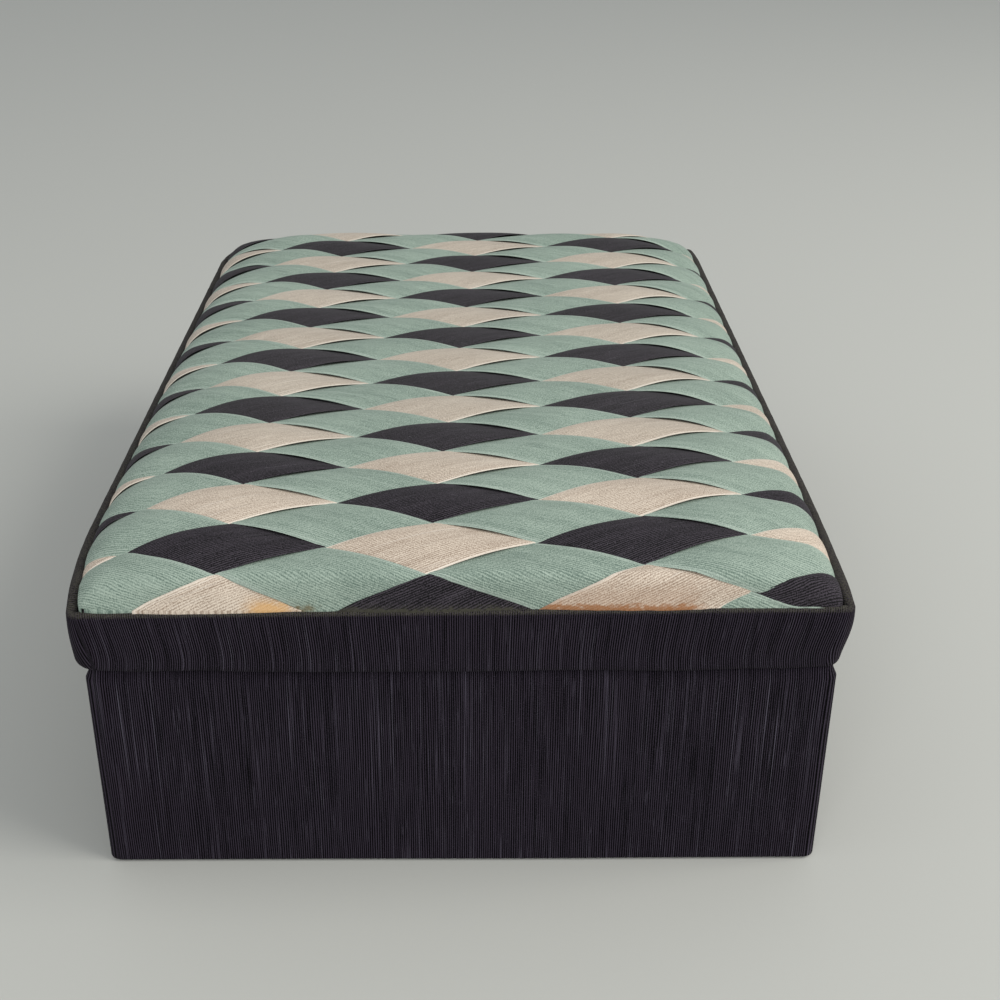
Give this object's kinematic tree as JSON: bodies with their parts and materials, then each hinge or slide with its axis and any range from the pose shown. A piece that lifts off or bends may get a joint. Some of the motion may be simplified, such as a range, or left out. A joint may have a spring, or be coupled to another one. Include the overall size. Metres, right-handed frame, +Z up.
{
  "type": "cloth-covered keepsake box",
  "caption": "Rectangular card box covered in dark slubbed cloth, with a lift-off lid whose padded top is woven from folded cloth strips.",
  "frame": {"origin": "middle of the underside, on the face that the box rests on", "axes": "+Y from the front to the back along the longest side, +X to the right, +Z up, the way the lid lifts"},
  "size_m": [0.1524, 0.2286, 0.0745],
  "materials": {
    "dark_cover_cloth": "slubbed rep cloth, near-black aubergine, matt",
    "dark_strip_cloth": "fine cloth, near-black aubergine, matt",
    "cream_strip_cloth": "slubbed silk-like cloth, cream, soft sheen",
    "teal_strip_cloth": "fine ribbed cloth, muted sage teal",
    "grey_card": "plain greyboard",
    "paper_tape": "gummed brown paper",
    "foot_paper": "dark bookbinding paper",
    "lining_cloth": "plain ivory lining cloth on card",
    "wadding": "cotton wadding"
  },
  "bodies": {
    "base": {"back_wall_lining": "lining_cloth", "base_back_board": "grey_card", "base_corner_tapes": "paper_tape", "base_cover": "dark_cover_cloth", "base_front_board": "grey_card", "base_left_board": "grey_card", "base_right_board": "grey_card", "bottom_board": "grey_card", "floor_lining": "lining_cloth", "foot_sheet": "foot_paper", "front_wall_lining": "lining_cloth", "left_wall_lining": "lining_cloth", "right_wall_lining": "lining_cloth"},
    "lid": {"rim_cover": "dark_cover_cloth", "lid_lining": "lining_cloth", "lid_board": "grey_card", "pad_board": "grey_card", "pad_wadding": "wadding", "rim_corner_tapes": "paper_tape", "rim_front_board": "grey_card", "rim_back_board": "grey_card", "rim_left_board": "grey_card", "rim_right_board": "grey_card", "cream_strip_01": "cream_strip_cloth", "cream_strip_03": "cream_strip_cloth", "cream_strip_05": "cream_strip_cloth", "cream_strip_07": "cream_strip_cloth", "cream_strip_09": "cream_strip_cloth", "cream_strip_11": "cream_strip_cloth", "cream_strip_13": "cream_strip_cloth", "cream_strip_15": "cream_strip_cloth", "cream_strip_17": "cream_strip_cloth", "dark_strip_02": "dark_strip_cloth", "dark_strip_04": "dark_strip_cloth", "dark_strip_06": "dark_strip_cloth", "dark_strip_08": "dark_strip_cloth", "dark_strip_10": "dark_strip_cloth", "dark_strip_12": "dark_strip_cloth", "dark_strip_14": "dark_strip_cloth", "dark_strip_16": "dark_strip_cloth", "dark_strip_18": "dark_strip_cloth", "teal_strip_01": "teal_strip_cloth", "teal_strip_02": "teal_strip_cloth", "teal_strip_03": "teal_strip_cloth", "teal_strip_04": "teal_strip_cloth", "teal_strip_05": "teal_strip_cloth", "teal_strip_06": "teal_strip_cloth", "teal_strip_07": "teal_strip_cloth", "teal_strip_08": "teal_strip_cloth", "teal_strip_09": "teal_strip_cloth", "teal_strip_10": "teal_strip_cloth", "teal_strip_11": "teal_strip_cloth", "teal_strip_12": "teal_strip_cloth", "teal_strip_13": "teal_strip_cloth", "teal_strip_14": "teal_strip_cloth", "teal_strip_15": "teal_strip_cloth", "teal_strip_16": "teal_strip_cloth", "teal_strip_17": "teal_strip_cloth", "teal_strip_18": "teal_strip_cloth"}
  },
  "joints": [
    {"name": "lid_lift", "type": "slide", "parent": "base", "child": "lid", "axis": [0, 0, 1], "range_m": [0, 0.09]}
  ]
}
